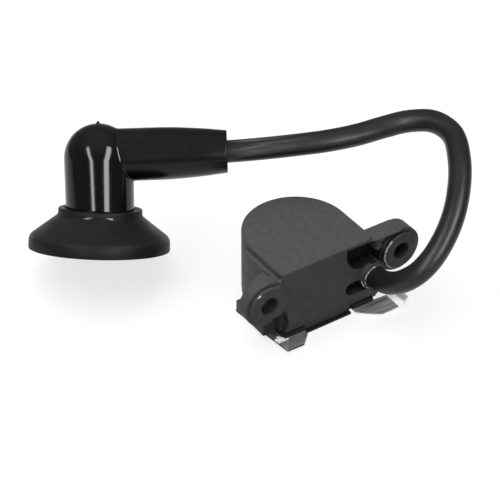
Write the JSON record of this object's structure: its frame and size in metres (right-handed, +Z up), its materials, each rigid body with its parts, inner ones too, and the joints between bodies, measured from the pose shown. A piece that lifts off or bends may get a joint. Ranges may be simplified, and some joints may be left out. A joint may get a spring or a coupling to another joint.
{
  "type": "ignition coil",
  "caption": "Small engine ignition coil: potted block with bolt ears on a steel base plate, a high tension lead and an elbow plug boot with a dust shield.",
  "frame": {"origin": "middle of the coil block's footprint (lead and boot left out), on the underside of the steel base plate", "axes": "+X from the left ear to the right ear along the flat front face, +Y from the flat front to the round back, +Z up to the top face"},
  "size_m": [0.1205, 0.0985, 0.0488],
  "materials": {
    "housing": "satin moulded",
    "potting": "cast resin",
    "board": "matt",
    "plate": "brushed",
    "core": "bare laminations",
    "bobbin": "satin",
    "copper": "enamelled copper",
    "circuit": "satin",
    "capacitor": "gloss",
    "semiconductor": "matt",
    "resistor": "satin",
    "tinned": "tinned",
    "brass": "bright",
    "lead": "satin",
    "boot": "glossy moulded",
    "clip": "plated",
    "shield": "satin moulded"
  },
  "bodies": {
    "coil": {"housing": "housing", "base_board": "board", "base_plate": "plate", "potting": "potting", "core": "core", "primary_bobbin": "bobbin", "primary_winding": "copper", "secondary_bobbin": "bobbin", "secondary_winding": "copper", "circuit_board": "circuit", "capacitor": "capacitor", "transistor": "semiconductor", "diode": "semiconductor", "resistor": "resistor", "ground_pin": "tinned", "primary_leads": "copper", "ht_spike": "brass", "ht_link": "copper", "lead_jacket": "lead", "lead_core": "copper", "lead_pin": "tinned"},
    "boot": {"boot_elbow": "boot", "plug_clip": "clip"},
    "shield": {"dust_shield": "shield"}
  },
  "joints": [
    {"name": "boot_swivel", "type": "hinge", "parent": "coil", "child": "boot", "pos_m": [-0.0408, 0.05495, 0.03565], "axis": [0.8437, -0.5361, 0.0275], "continuous": true},
    {"name": "shield_turn", "type": "hinge", "parent": "boot", "child": "shield", "pos_m": [-0.0408, 0.05495, 0.03565], "axis": [0.2712, 0.4001, 0.8754], "continuous": true}
  ]
}
